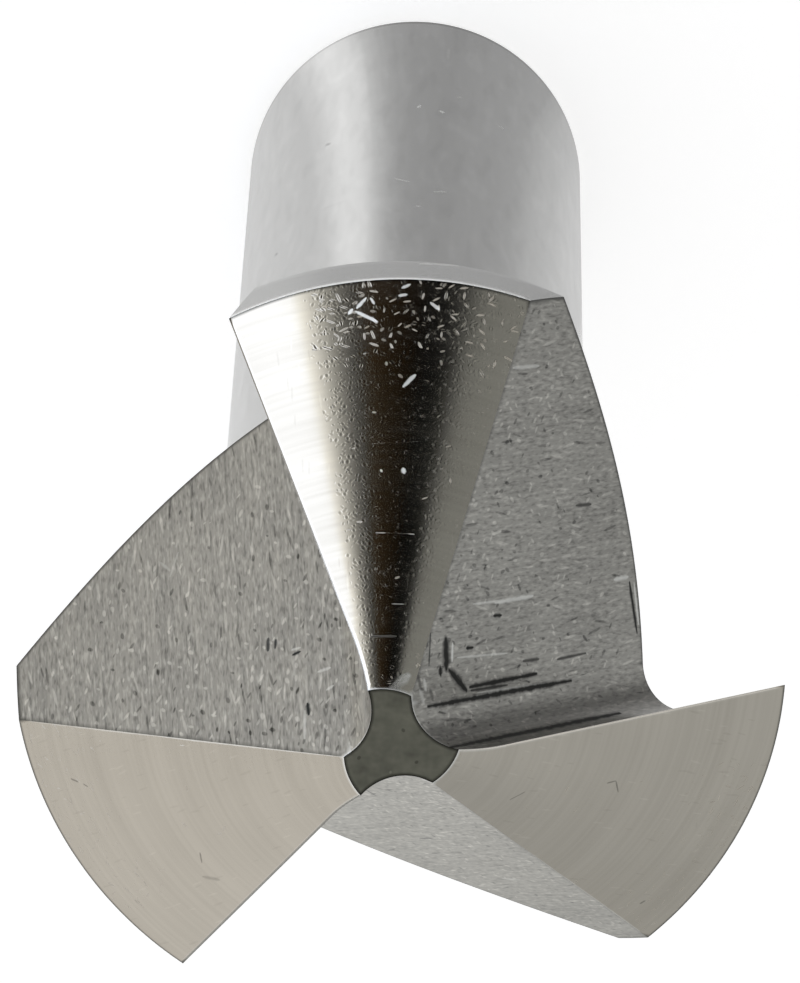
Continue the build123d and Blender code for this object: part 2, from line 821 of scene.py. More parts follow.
class Effects:
    """Shader groups that more than one finish uses, each built once.

    A span holds the two values between which a pattern grows from nothing to its full
    strength: values of a noise, or distances from the middle of a mark as a share of its
    half width.
    """

    def __init__(self) -> None:
        """Build every group."""
        self.grinding_lines = self._grinding_lines()
        self.cloudiness = self._cloudiness()
        self.torn_grain = self._torn_grain()
        self.marks = self._marks()
        self.scratch_or_glint = self._scratch_or_glint()
        self.painted_edge_lines = self._painted_edge_lines()

    @staticmethod
    def _grinding_lines() -> Tree:
        """Lines left by a wheel or a tool, along the lay of the face.

        Returns:
            Group with a Lines value from 0 to 1.
        """
        tree = new_group("grinding_lines",
                         {"Lay": VECTOR, "Length": FLOAT, "Spacing": FLOAT, "Seed": FLOAT},
                         {"Lines": FLOAT})
        given = tree.nodes["in"].outputs
        lay = add_node(tree, "ShaderNodeSeparateXYZ", {0: given["Lay"]}).outputs
        along = sum_up(tree, "DIVIDE", lay[0], given["Length"])
        aside = sum_up(tree, "DIVIDE", lay[1], given["Length"])
        across = sum_up(tree, "DIVIDE", lay[2], given["Spacing"])
        seeded = sum_up(tree, "ADD", across, given["Seed"])
        place = add_node(tree, "ShaderNodeCombineXYZ", {0: along, 1: aside, 2: seeded}).outputs[0]
        noise = add_node(tree, "ShaderNodeTexNoise",
                         {"Vector": place, "Scale": 1.0, "Detail": 1.5, "Roughness": 0.6})
        lines = spread(tree, noise.outputs["Fac"], *LINES_SPAN)
        tree.links.new(lines, tree.nodes["out"].inputs["Lines"])
        return tree

    @staticmethod
    def _cloudiness() -> Tree:
        """Soft patches, such as haze, handling marks and uneven grinding.

        Returns:
            Group with a Cloud value from 0 to 1.
        """
        tree = new_group("cloudiness", {"Place": VECTOR, "Size": FLOAT, "Seed": FLOAT},
                         {"Cloud": FLOAT})
        given = tree.nodes["in"].outputs
        scale = sum_up(tree, "DIVIDE", 1.0, given["Size"])
        moved = add_node(tree, "ShaderNodeVectorMath", {0: given["Place"], 1: given["Seed"]},
                         operation="ADD").outputs[0]
        noise = add_node(tree, "ShaderNodeTexNoise",
                         {"Vector": moved, "Scale": scale, "Detail": 2.0, "Roughness": 0.55})
        cloud = spread(tree, noise.outputs["Fac"], *CLOUD_SPAN)
        tree.links.new(cloud, tree.nodes["out"].inputs[0])
        return tree

    @staticmethod
    def _torn_grain() -> Tree:
        """Fine torn specks, drawn out along the tool marks.

        Returns:
            Group with a Grain value, above 0 for a bright speck and below 0 for a dark one.
        """
        tree = new_group("torn_grain",
                         {"Sheet": VECTOR, "Width": FLOAT, "Stretch": FLOAT, "Seed": FLOAT},
                         {"Grain": FLOAT})
        given = tree.nodes["in"].outputs
        flat = add_node(tree, "ShaderNodeSeparateXYZ", {0: given["Sheet"]}).outputs
        length = sum_up(tree, "MULTIPLY", given["Width"], given["Stretch"])
        along = sum_up(tree, "DIVIDE", sum_up(tree, "ADD", flat[0], flat[2]), length)
        across = sum_up(tree, "ADD", sum_up(tree, "DIVIDE", flat[1], given["Width"]),
                        given["Seed"])
        place = add_node(tree, "ShaderNodeCombineXYZ", {0: along, 1: across}).outputs[0]
        noise = add_node(tree, "ShaderNodeTexNoise",
                         {"Vector": place, "Scale": 1.0, "Detail": 1.0, "Roughness": 0.6},
                         noise_dimensions="2D").outputs["Fac"]
        bright = spread(tree, noise, *BRIGHT_GRAIN_SPAN)
        dark = spread(tree, noise, *DARK_GRAIN_SPAN)
        tree.links.new(sum_up(tree, "SUBTRACT", bright, dark), tree.nodes["out"].inputs[0])
        return tree

    @staticmethod
    def _marks() -> Tree:
        """Short strokes, one to a cell: torn grain along the lay, or nicks that lie anyhow.

        Returns:
            Group with a Marks value, above 0 for a bright stroke and below 0 for a dark one,
            and a Tilt value in millimetres that slants the floor of each stroke.
        """
        tree = new_group("marks", {"Sheet": VECTOR, "Spacing": FLOAT, "Stretch": FLOAT,
                                   "Size": FLOAT, "Slimness": FLOAT, "Swing": FLOAT,
                                   "Share": FLOAT, "Bright": FLOAT, "Seed": FLOAT},
                         {"Marks": FLOAT, "Tilt": FLOAT})
        given = tree.nodes["in"].outputs
        flat = add_node(tree, "ShaderNodeSeparateXYZ", {0: given["Sheet"]}).outputs
        cell = sum_up(tree, "MULTIPLY", given["Spacing"], given["Stretch"])
        along = sum_up(tree, "DIVIDE", sum_up(tree, "ADD", flat[0], flat[2]), cell)
        across = sum_up(tree, "ADD", sum_up(tree, "DIVIDE", flat[1], given["Spacing"]),
                        given["Seed"])
        place = add_node(tree, "ShaderNodeCombineXYZ", {0: along, 1: across}).outputs[0]
        cells = add_node(tree, "ShaderNodeTexVoronoi", {"Vector": place, "Scale": 1.0},
                         voronoi_dimensions="2D")
        luck = add_node(tree, "ShaderNodeSeparateColor", {0: cells.outputs["Color"]}).outputs
        local = add_node(tree, "ShaderNodeVectorMath", {0: place, 1: cells.outputs["Position"]},
                         operation="SUBTRACT").outputs[0]
        gap = add_node(tree, "ShaderNodeSeparateXYZ", {0: local}).outputs
        gap_along = sum_up(tree, "MULTIPLY", gap[0], given["Stretch"])
        turn = sum_up(tree, "MULTIPLY", sum_up(tree, "SUBTRACT", luck[0], 0.5),
                      sum_up(tree, "MULTIPLY", given["Swing"], math.pi))
        cosine, sine = sum_up(tree, "COSINE", turn), sum_up(tree, "SINE", turn)
        own_along = sum_up(tree, "ADD", sum_up(tree, "MULTIPLY", gap_along, cosine),
                           sum_up(tree, "MULTIPLY", gap[1], sine))
        own_across = sum_up(tree, "SUBTRACT", sum_up(tree, "MULTIPLY", gap[1], cosine),
                            sum_up(tree, "MULTIPLY", gap_along, sine))
        size = sum_up(tree, "MULTIPLY", given["Size"], spread(tree, luck[1], 0, 1, *STROKE_SIZES))
        long_half = sum_up(tree, "MULTIPLY", size, given["Stretch"])
        slim_half = sum_up(tree, "MULTIPLY", size, given["Slimness"])
        first = sum_up(tree, "POWER", sum_up(tree, "DIVIDE", own_along, long_half), 2.0)
        second = sum_up(tree, "POWER", sum_up(tree, "DIVIDE", own_across, slim_half), 2.0)
        mask = spread(tree, sum_up(tree, "ADD", first, second), *STROKE_SPAN)
        chosen = sum_up(tree, "LESS_THAN", luck[2], given["Share"])
        kind = sum_up(tree, "FRACT", sum_up(tree, "MULTIPLY", luck[0], SECOND_DRAW))
        bright = sum_up(tree, "LESS_THAN", kind, given["Bright"])
        sign = sum_up(tree, "MULTIPLY_ADD", bright, 2.0, -1.0)
        marks = sum_up(tree, "MULTIPLY", sum_up(tree, "MULTIPLY", mask, chosen), sign)
        tree.links.new(marks, tree.nodes["out"].inputs[0])
        hollow = spread(tree, sum_up(tree, "ADD", first, second), *HOLLOW_SPAN)
        slant = sum_up(tree, "MULTIPLY", sum_up(tree, "MULTIPLY", own_across, chosen),
                       sum_up(tree, "MULTIPLY", hollow, given["Spacing"]))
        tree.links.new(slant, tree.nodes["out"].inputs[1])
        return tree

    @staticmethod
    def _scratch_or_glint() -> Tree:
        """One straight scratch or painted glint between two points, thinning towards its ends.

        Returns:
            Group with a Mask value from 0 to 1.
        """
        tree = new_group("scratch_or_glint", {"Place": VECTOR, "Start": VECTOR, "End": VECTOR,
                                     "Width": FLOAT, "Rag": FLOAT}, {"Mask": FLOAT})
        given = tree.nodes["in"].outputs

        def vector(kind: str, *values: tuple | Socket) -> bpy.types.Node:
            """Vector Math node of one kind."""
            return add_node(tree, "ShaderNodeVectorMath", dict(enumerate(values)), operation=kind)

        run = vector("SUBTRACT", given["End"], given["Start"]).outputs[0]
        reach = vector("SUBTRACT", given["Place"], given["Start"]).outputs[0]
        share = sum_up(tree, "DIVIDE", vector("DOT_PRODUCT", reach, run).outputs["Value"],
                       vector("DOT_PRODUCT", run, run).outputs["Value"])
        held = spread(tree, share, 0.0, 1.0)
        foot = add_node(tree, "ShaderNodeVectorMath", {0: run, "Scale": held},
                        operation="SCALE").outputs[0]
        gap = vector("LENGTH", vector("SUBTRACT", reach, foot).outputs[0]).outputs["Value"]
        middle = sum_up(tree, "MULTIPLY", held, sum_up(tree, "SUBTRACT", 1.0, held))
        width = sum_up(tree, "MULTIPLY", given["Width"],
                       spread(tree, middle, *TAPER_SPAN, *TAPER_WIDTHS))
        ragged = sum_up(tree, "ADD", sum_up(tree, "DIVIDE", gap, width), given["Rag"])
        tree.links.new(spread(tree, ragged, *SCRATCH_SPAN), tree.nodes["out"].inputs[0])
        return tree

    @staticmethod
    def _painted_edge_lines() -> Tree:
        """Painted highlight or painted shade on the narrow band along an edge, standing in for what
        its tiny rounding reflects.

        Returns:
            Group with the colour, with its painted highlight and painted shade laid on.
        """
        tree = new_group("painted_edge_lines", {"Colour": COLOUR, "Edge": FLOAT, "Bright": COLOUR,
                                       "Dark": COLOUR}, {"Colour": COLOUR})
        given = tree.nodes["in"].outputs
        painted_highlight = spread(tree, given["Edge"], 0.0, 1.0)
        painted_shade = spread(tree, given["Edge"], 0.0, -1.0)
        colour = blend_colours(tree, painted_highlight, given["Colour"], given["Bright"])
        colour = blend_colours(tree, painted_shade, colour, given["Dark"])
        tree.links.new(colour, tree.nodes["out"].inputs[0])
        return tree


# ---------------------------------------------------------------- finishes

# Colour of the bright scratches and glints: partly the scratches' own colour and partly painted
# highlight for the light they catch, and on the margin painted glints.
BRIGHT_CUT_AND_GLINT = (0.9, 0.9, 0.87, 1)
DARK_CUT = (0.02, 0.02, 0.018, 1)
DULL_ROUGHNESS = 0.55
RAG_SIZE = 0.3
RAG_DEPTH = 0.3
BANDS_SEED = 31
STROKES_SEED = 9
BANDS_LENGTH = 3
EVEN_TONES = (0.2, 0.8)
STRAY_SHARE = 0.04


@dataclass(frozen=True)
class ScratchOrGlint:
    """One scratch, or on the margin a painted glint, in millimetres from the bit's origin, bright
    above 0 and dark below. A bright scratch's colour is partly painted highlight.
    """

    start: Point
    end: Point
    width: float = 0.05
    tone: float = -1.0


@dataclass(frozen=True)
class Strokes:
    """Short strokes scattered over a finish, slanted, toned or frosted.

    reach is the distance across the lay over which they come in, and clear the distance
    along it over which they come in, from the first value to the second.
    """

    spacing: float
    stretch: float = 1.0
    size: float = 0.4
    slimness: float = 0.5
    swing: float = 1.0
    share: float = 0.5
    bright: float = 0.5
    tone: float = 0.0
    slant: float = 0.0
    frost: float = 0.0
    reach: Span | None = None
    clear: Span | None = None


@dataclass(frozen=True)
class GroundFinish:
    """Steel as a wheel or a turning tool leaves it, from its lines to its scratches, with painted
    highlight and shade lines along its edges and painted glints on the margin.
    """

    name: str
    light: Tint
    dark: Tint
    roughness: float
    roughness_change: float = 0.04
    line_spacing: float = 0.12
    line_length: float = 6.0
    line_tone: float = 0.4
    line_depth: float = 0.0006
    band_spacing: float = 0.9
    band_tone: float = 0.25
    cloud_size: float = 2.5
    cloud_tone: float = 0.25
    grain_width: float = 0.06
    grain_stretch: float = 3.0
    grain_tone: float = 0.0
    strokes: tuple[Strokes, ...] = ()
    # Colours of the painted highlight and the painted shade lines along the edges.
    edge_highlight: Tint = (0.8, 0.8, 0.78)
    edge_shade: Tint = (0.04, 0.04, 0.036)
    seed: float = 0.0
    scratches_and_glints: tuple[ScratchOrGlint, ...] = ()

    def material(self, effects: Effects) -> bpy.types.Material:
        """Build the finish.

        Args:
            effects: The shared shader groups.

        Returns:
            The material.
        """
        made, tree = new_material(self.name)
        lay = self._stored(tree, "lay").outputs["Vector"]
        sheet = self._stored(tree, "sheet").outputs["Vector"]
        edge = self._stored(tree, "edge").outputs["Fac"]
        coordinates = add_node(tree, "ShaderNodeTexCoord").outputs["Object"]
        place = add_node(tree, "ShaderNodeVectorMath", {0: coordinates, "Scale": 1 / MM},
                         operation="SCALE").outputs[0]
        fine = self._place(tree, effects.grinding_lines, Lay=lay, Length=self.line_length,
                           Spacing=self.line_spacing, Seed=self.seed)[0]
        bands = self._place(tree, effects.grinding_lines, Lay=lay,
                            Length=self.line_length * BANDS_LENGTH,
                            Spacing=self.band_spacing, Seed=self.seed + BANDS_SEED)[0]
        cloud = self._place(tree, effects.cloudiness, Place=place, Size=self.cloud_size,
                            Seed=self.seed)[0]
        middle = 0.5 * (1 - self.line_tone - self.band_tone - self.cloud_tone)
        tone = sum_up(tree, "MULTIPLY_ADD", fine, self.line_tone, middle)
        tone = sum_up(tree, "MULTIPLY_ADD", bands, self.band_tone, tone)
        tone = sum_up(tree, "MULTIPLY_ADD", cloud, self.cloud_tone, tone)
        rough = spread(tree, tone, *EVEN_TONES, self.roughness + self.roughness_change,
                       self.roughness - self.roughness_change)
        if self.grain_tone:
            grain = self._place(tree, effects.torn_grain, Sheet=sheet, Width=self.grain_width,
                                Stretch=self.grain_stretch, Seed=self.seed)[0]
            tone = sum_up(tree, "MULTIPLY_ADD", grain, self.grain_tone, tone)
        height = sum_up(tree, "MULTIPLY", fine, self.line_depth)
        for number, kind in enumerate(self.strokes):
            marks, tilt = self._marks(tree, effects, lay, sheet, kind, number)
            tone = sum_up(tree, "MULTIPLY_ADD", marks, kind.tone, tone) if kind.tone else tone
            if kind.slant:
                height = sum_up(tree, "MULTIPLY_ADD", tilt, kind.slant, height)
            if kind.frost:
                rough = self._dulled(tree, rough, marks, kind.frost)
        colour = blend_colours(tree, spread(tree, tone, 0.0, 1.0), (*self.dark, 1),
                               (*self.light, 1))
        # Painted highlight and painted shade lines along the edges, from the stored edge tone.
        colour = self._place(tree, effects.painted_edge_lines, Colour=colour, Edge=edge,
                             Bright=(*self.edge_highlight, 1), Dark=(*self.edge_shade, 1))[0]
        rough = self._dulled(tree, rough, edge, DULL_ROUGHNESS)
        # Bright scratches, partly painted highlight, and the margin's painted glints are laid on
        # here, with the dark scratches.
        for bright, cut_or_glint_colour in ((True, BRIGHT_CUT_AND_GLINT), (False, DARK_CUT)):
            cuts_and_glints = self._cuts_and_glints(tree, effects, place, bright)
            if cuts_and_glints is not None:
                colour = blend_colours(tree, cuts_and_glints, colour, cut_or_glint_colour)
                rough = self._dulled(tree, rough, cuts_and_glints, DULL_ROUGHNESS)
        bent = add_node(tree, "ShaderNodeBump", {"Height": height, "Distance": MM}).outputs[0]
        steel = add_node(tree, "ShaderNodeBsdfPrincipled",
                         {"Base Color": colour, "Roughness": rough, "Metallic": 1.0,
                          "Normal": bent})
        add_node(tree, "ShaderNodeOutputMaterial", {"Surface": steel.outputs[0]})
        return made

    @staticmethod
    def _dulled(tree: Tree, rough: Socket, mask: Socket, most: float) -> Socket:
        """Roughness raised to the most that a mask asks for."""
        return sum_up(tree, "MAXIMUM", rough, sum_up(tree, "MULTIPLY", mask, most))

    @staticmethod
    def _stored(tree: Tree, name: str) -> bpy.types.Node:
        """Node that reads an attribute of the mesh."""
        return add_node(tree, "ShaderNodeAttribute", attribute_name=name,
                        attribute_type="GEOMETRY")

    @staticmethod
    def _place(tree: Tree, group: Tree,
               **inputs: float | tuple | Socket) -> bpy.types.bpy_prop_collection:
        """Place a shared group in the material and return its outputs."""
        return add_node(tree, "ShaderNodeGroup", inputs, node_tree=group).outputs

    def _marks(self, tree: Tree, effects: Effects, lay: Socket, sheet: Socket,
               kind: Strokes, number: int) -> tuple[Socket, Socket]:
        """Place the marks group for one kind of stroke.

        Args:
            tree: The material's tree.
            effects: The shared shader groups.
            lay: Distances along and across the tool marks.
            sheet: Flat place on the face.
            kind: The strokes.
            number: Which of the finish's kinds this is.

        Returns:
            The marks and their tilt.
        """
        share = kind.share
        way = add_node(tree, "ShaderNodeSeparateXYZ", {0: lay}).outputs
        if kind.reach is not None:
            share = spread(tree, way[2], *kind.reach, STRAY_SHARE * kind.share, kind.share)
        if kind.clear is not None:
            share = sum_up(tree, "MULTIPLY", spread(tree, way[0], *kind.clear), share)
        outputs = self._place(tree, effects.marks, Sheet=sheet, Spacing=kind.spacing,
                              Stretch=kind.stretch, Size=kind.size, Slimness=kind.slimness,
                              Swing=kind.swing, Share=share, Bright=kind.bright,
                              Seed=self.seed + STROKES_SEED * number)
        return outputs[0], outputs[1]

    def _cuts_and_glints(self, tree: Tree, effects: Effects, place: Socket,
              bright: bool) -> Socket | None:
        """All bright or all dark scratches and painted glints together.

        Args:
            tree: The material's tree.
            effects: The shared shader groups.
            place: Place on the bit in millimetres.
            bright: Whether to gather the bright ones.

        Returns:
            Their joint mask, or None if there are none.
        """
        chosen = [scratch_or_glint for scratch_or_glint in self.scratches_and_glints if (scratch_or_glint.tone > 0) == bright]
        if not chosen:
            return None
        cloud = self._place(tree, effects.cloudiness, Place=place, Size=RAG_SIZE,
                            Seed=self.seed)[0]
        rag = sum_up(tree, "MULTIPLY_ADD", cloud, RAG_DEPTH, -RAG_DEPTH / 2)
        cuts_and_glints = None
        for scratch_or_glint in chosen:
            mask = self._place(tree, effects.scratch_or_glint, Place=place, Start=scratch_or_glint.start,
                               End=scratch_or_glint.end, Width=scratch_or_glint.width, Rag=rag)[0]
            mask = sum_up(tree, "MULTIPLY", mask, abs(scratch_or_glint.tone))
            cuts_and_glints = mask if cuts_and_glints is None else sum_up(tree, "MAXIMUM", cuts_and_glints, mask)
        return cuts_and_glints


EDGE_STRIP = (0.78, 0.5)
TORN_STROKES = Strokes(0.3, 4.0, 0.42, 0.4, 0.12, 0.4, 0.6, tone=0.26)
TORN_SPECKS = Strokes(0.26, 1.6, 0.4, 0.65, 0.5, 0.65, 0.65, tone=0.3, clear=(14.0, 0.0))
FINE_STROKES = Strokes(0.15, 5.0, 0.42, 0.6, 0.06, 0.15, 0.5, tone=0.3)
GRAINS = Strokes(0.14, size=0.6, slimness=0.9, share=0.85, slant=0.032, clear=EDGE_STRIP)
COARSE_GRAINS = Strokes(0.22, size=0.5, slimness=0.45, share=0.55, bright=0.35, slant=0.11,
                        frost=0.35, reach=(11.2, 13.4), clear=EDGE_STRIP)
RODS = Strokes(0.4, size=0.45, slimness=0.2, share=0.95, bright=0.7, slant=0.3, frost=0.5,
               reach=(12.0, 13.2), clear=EDGE_STRIP)
SPECKS = Strokes(0.8, size=0.11, slimness=0.8, share=0.5, bright=0.55, tone=0.6)

LAND_MARKS = (
    ScratchOrGlint((5.65, -1.85, 58.60), (5.88, -1.83, 58.39), 0.05, -0.5),
    ScratchOrGlint((5.88, -1.83, 58.39), (5.97, -2.19, 58.17), 0.05, -0.5),
    ScratchOrGlint((3.10, -1.85, 60.85), (3.48, -1.67, 60.63), 0.05, -0.4),
    ScratchOrGlint((6.88, -6.05, 55.25), (7.00, -5.97, 55.21), 0.08, -0.5),
    ScratchOrGlint((-8.41, -3.79, 55.21), (-8.22, -3.81, 55.38), 0.07, -0.5),
    ScratchOrGlint((-8.08, -3.82, 55.51), (-7.95, -3.86, 55.62), 0.05, -0.5),
    ScratchOrGlint((-4.86, -4.83, 57.72), (-4.79, -5.14, 57.55), 0.06, -0.5),
    ScratchOrGlint((-4.73, -5.61, 57.26), (-4.31, -5.57, 57.58), 0.14, -0.25),
    ScratchOrGlint((-1.83, 9.43, 54.93), (-1.25, 9.26, 55.18), 0.15, 0.85),
    ScratchOrGlint((-1.81, 9.51, 54.86), (-1.59, 9.75, 54.65), 0.14, 0.85),
    ScratchOrGlint((-2.01, 9.37, 54.97), (-1.93, 9.47, 54.88), 0.13, 0.85),
    ScratchOrGlint((-0.45, 7.92, 56.56), (-0.17, 8.18, 56.30), 0.16, 0.85),
    ScratchOrGlint((-1.47, 9.76, 54.66), (-1.37, 9.64, 54.78), 0.12, 0.85),
    ScratchOrGlint((-0.66, 10.04, 54.43), (-0.46, 10.13, 54.35), 0.14, 0.85),
    ScratchOrGlint((-0.73, 9.87, 54.61), (-0.53, 9.90, 54.57), 0.12, 0.85),
    ScratchOrGlint((0.11, 9.77, 54.70), (0.33, 9.63, 54.82), 0.13, 0.85),
    ScratchOrGlint((-0.90, 4.75, 59.70), (0.09, 4.78, 59.68), 0.05, 0.6),
    ScratchOrGlint((-0.36, 3.28, 61.20), (-0.05, 3.29, 61.18), 0.05, 0.6),
    ScratchOrGlint((-1.17, 6.63, 57.80), (0.03, 6.76, 57.71), 0.05, 0.4),
    ScratchOrGlint((-0.31, 6.16, 58.32), (-0.28, 6.07, 58.40), 0.18, 0.9),
    ScratchOrGlint((-0.89, 6.10, 58.36), (-0.86, 6.06, 58.40), 0.14, 0.6),
    ScratchOrGlint((-0.84, 2.55, 61.89), (-0.20, 2.60, 61.87), 0.09, -0.9),
    ScratchOrGlint((-0.41, 1.38, 63.10), (0.18, 1.78, 62.63), 0.34, 0.45),
    ScratchOrGlint((-1.35, -0.42, 62.98), (-6.18, -1.65, 58.00), 0.07, 0.5),
    ScratchOrGlint((-6.18, -1.65, 58.00), (-9.90, -2.58, 54.20), 0.07, 0.4),
    ScratchOrGlint((1.20, -1.12, 62.90), (4.51, -4.53, 58.00), 0.06, 0.35),
    ScratchOrGlint((4.51, -4.53, 58.00), (6.95, -7.04, 54.50), 0.06, 0.3),
)
FLUTE_MARKS = (
    ScratchOrGlint((0.75, 0.87, 62.19), (4.60, -0.37, 54.17), 0.22, -1),
    ScratchOrGlint((1.84, 0.81, 59.80), (3.64, 0.27, 56.04), 0.18, -1),
    ScratchOrGlint((1.88, 0.71, 59.76), (2.86, 0.37, 57.73), 0.12, -0.9),
    ScratchOrGlint((1.68, 1.84, 59.75), (1.86, 1.77, 59.37), 0.12, -1),
    ScratchOrGlint((3.24, 0.77, 56.71), (3.68, 0.61, 55.82), 0.12, -0.8),
    ScratchOrGlint((4.18, 0.36, 54.81), (4.96, 0.14, 53.17), 0.10, -0.8),
    ScratchOrGlint((2.35, 2.31, 58.07), (2.56, 2.22, 57.63), 0.13, -1),
    ScratchOrGlint((2.90, -0.18, 57.86), (4.88, -0.84, 53.75), 0.08, -0.7),
    ScratchOrGlint((4.88, -0.84, 53.75), (5.76, -1.12, 51.91), 0.11, -0.9),
    ScratchOrGlint((4.85, 0.62, 53.22), (4.97, 0.44, 53.03), 0.12, -0.7),
    ScratchOrGlint((1.11, 2.32, 60.80), (1.18, 1.60, 60.94), 0.52, -1),
    ScratchOrGlint((1.25, 1.52, 60.82), (1.76, 0.77, 60.00), 0.30, -1),
    ScratchOrGlint((0.69, 2.66, 61.60), (0.71, 1.88, 61.87), 0.12, -0.8),
    ScratchOrGlint((1.01, 1.68, 61.28), (1.04, 1.50, 61.30), 0.30, -1),
    ScratchOrGlint((1.48, 1.26, 60.42), (1.63, 1.00, 60.20), 0.26, -0.9),
    ScratchOrGlint((4.39, 4.07, 52.82), (4.81, 3.91, 51.96), 0.11, -0.8),
    ScratchOrGlint((1.30, 2.13, 60.47), (1.32, 1.71, 60.60), 0.16, 0.65),
    ScratchOrGlint((1.77, 2.87, 59.12), (2.68, 2.54, 57.23), 0.08, 0.39),
    ScratchOrGlint((2.36, 2.62, 57.91), (3.38, 2.31, 55.77), 0.13, 0.52),
    ScratchOrGlint((2.39, 8.37, 55.50), (3.09, 8.11, 54.04), 0.12, 0.39),
    ScratchOrGlint((5.60, 1.66, 51.12), (5.99, 1.55, 50.30), 0.14, 0.52),
    ScratchOrGlint((2.07, 0.56, 59.40), (3.91, -0.10, 55.59), 0.07, 0.45),
    ScratchOrGlint((1.45, 1.72, 60.30), (2.79, 1.18, 57.54), 0.07, 0.39),
    ScratchOrGlint((0.52, 1.39, 62.49), (0.65, 0.99, 62.36), 0.20, 0.39),
    ScratchOrGlint((6.05, 1.37, 50.25), (6.36, -0.03, 50.13), 0.20, -1),
    ScratchOrGlint((6.17, 1.31, 49.99), (6.38, 0.19, 49.99), 0.14, 0.65),
    ScratchOrGlint((-3.49, 1.04, 57.32), (-3.47, 0.82, 57.74), 0.13, -0.9),
    ScratchOrGlint((-3.29, 1.08, 57.55), (-3.29, 0.92, 57.83), 0.11, -0.9),
    ScratchOrGlint((-2.35, 0.22, 60.41), (-2.29, 0.03, 60.81), 0.15, -1),
    ScratchOrGlint((-2.81, 0.96, 58.46), (-2.63, 1.07, 58.52), 0.15, -1),
    ScratchOrGlint((-2.85, 1.04, 58.27), (-2.64, 1.14, 58.39), 0.10, 0.36),
    ScratchOrGlint((-2.40, 0.06, 60.59), (-2.35, -0.43, 61.51), 0.11, 0.32),
    ScratchOrGlint((-6.48, 1.49, 52.19), (-6.22, 1.42, 52.69), 0.09, 0.18),
    ScratchOrGlint((-6.04, 1.82, 52.26), (-6.20, 1.31, 52.89), 0.08, 0.18),
    ScratchOrGlint((-2.13, 0.87, 59.61), (-1.83, 1.04, 59.76), 0.14, 0.36),
    ScratchOrGlint((-1.87, 0.63, 60.41), (-1.72, 0.75, 60.42), 0.14, 0.36),
    ScratchOrGlint((-0.67, -2.66, 58.07), (-0.38, -2.86, 57.85), 0.13, -0.7),
    ScratchOrGlint((0.93, -4.97, 54.36), (1.24, -4.69, 55.20), 0.12, -0.6),
    ScratchOrGlint((1.62, -2.29, 60.56), (1.70, -2.34, 60.53), 0.15, -0.6),
    ScratchOrGlint((3.21, -6.12, 53.63), (3.66, -5.83, 54.60), 0.12, 0.33),
    ScratchOrGlint((1.75, 0.12, 60.81), (1.85, 0.11, 60.53), 0.12, -0.7),
    ScratchOrGlint((1.87, 0.55, 59.85), (2.67, 0.30, 58.18), 0.07, 0.5),
    ScratchOrGlint((0.44, 1.77, 62.52), (0.55, 1.38, 62.44), 0.20, -0.6),
    ScratchOrGlint((0.61, 1.59, 62.22), (0.68, 1.31, 62.17), 0.20, 0.5),
    ScratchOrGlint((0.78, 1.26, 61.96), (0.88, 0.97, 61.86), 0.20, -0.5),
    ScratchOrGlint((1.24, 0.12, 63.40), (6.00, -1.44, 53.15), 0.26, -1.0),
)
SHANK_MARKS = (
    ScratchOrGlint((-0.79, 4.94, 20.74), (-0.38, 4.99, 21.18), 0.14, 0.6),
    ScratchOrGlint((0.34, 4.99, 22.20), (0.69, 4.95, 21.94), 0.14, 0.6),
    ScratchOrGlint((0.48, 4.98, 11.86), (0.54, 4.97, 12.07), 0.2, 0.9),
    ScratchOrGlint((-0.20, 5.00, 11.78), (-0.14, 5.00, 11.44), 0.14, 0.8),
    ScratchOrGlint((2.23, 4.47, 11.09), (2.35, 4.41, 11.16), 0.16, 0.7),
    ScratchOrGlint((0.98, 4.90, 9.69), (1.07, 4.88, 9.45), 0.16, 0.5),
    ScratchOrGlint((-0.13, 5.00, 24.11), (-0.07, 5.00, 24.22), 0.2, 0.6),
    ScratchOrGlint((-2.80, 4.14, 13.64), (-2.74, 4.18, 13.92), 0.2, -0.4),
    ScratchOrGlint((-4.06, 2.92, 22.63), (-4.02, 2.98, 22.99), 0.16, -0.35),
    ScratchOrGlint((-2.88, 4.09, 21.83), (-2.16, 4.51, 22.12), 0.1, -0.15),
    ScratchOrGlint((0.65, 4.96, 4.86), (0.67, 4.95, 3.49), 0.1, 0.25),
)

# Painted glints along the bottom edge of the margin, drawn as bright streaks in its colour.
MARGIN_GLINTS = (
    ScratchOrGlint((-3.13, 9.76, 52.02), (-2.33, 9.98, 51.96), 0.36, 1.0),
    ScratchOrGlint((-2.33, 9.98, 51.96), (-1.65, 10.12, 51.99), 0.36, 0.9),
    ScratchOrGlint((-0.22, 10.25, 52.47), (0.76, 10.22, 52.28), 0.22, 0.5),
)

LAND = GroundFinish("land_ground", (0.465, 0.43, 0.37), (0.37, 0.34, 0.29), 0.13,
                    line_spacing=0.16, line_tone=0.35, line_depth=0.0004, cloud_size=3.0,
                    strokes=(FINE_STROKES, GRAINS, COARSE_GRAINS, RODS), seed=3.0,
                    scratches_and_glints=LAND_MARKS)
WALL = GroundFinish("flute_ground", (0.62, 0.60, 0.555), (0.05, 0.048, 0.043), 0.30,
                    line_spacing=0.11, line_length=3.0, line_tone=0.14, line_depth=0.0015,
                    band_tone=0.08, cloud_tone=0.08, grain_width=0.085, grain_stretch=5.0,
                    grain_tone=0.18, strokes=(TORN_STROKES, TORN_SPECKS), seed=11.0,
                    scratches_and_glints=FLUTE_MARKS)
SHANK = GroundFinish("shank_ground", (0.66, 0.66, 0.65), (0.56, 0.56, 0.55), 0.16,
                     line_spacing=0.3, line_length=12.0, line_tone=0.03, line_depth=0.0,
                     band_tone=0.02, cloud_size=3.0, cloud_tone=0.1, grain_width=3.2,
                     grain_stretch=0.16, grain_tone=0.45, strokes=(SPECKS,), seed=7.0,
                     scratches_and_glints=SHANK_MARKS)
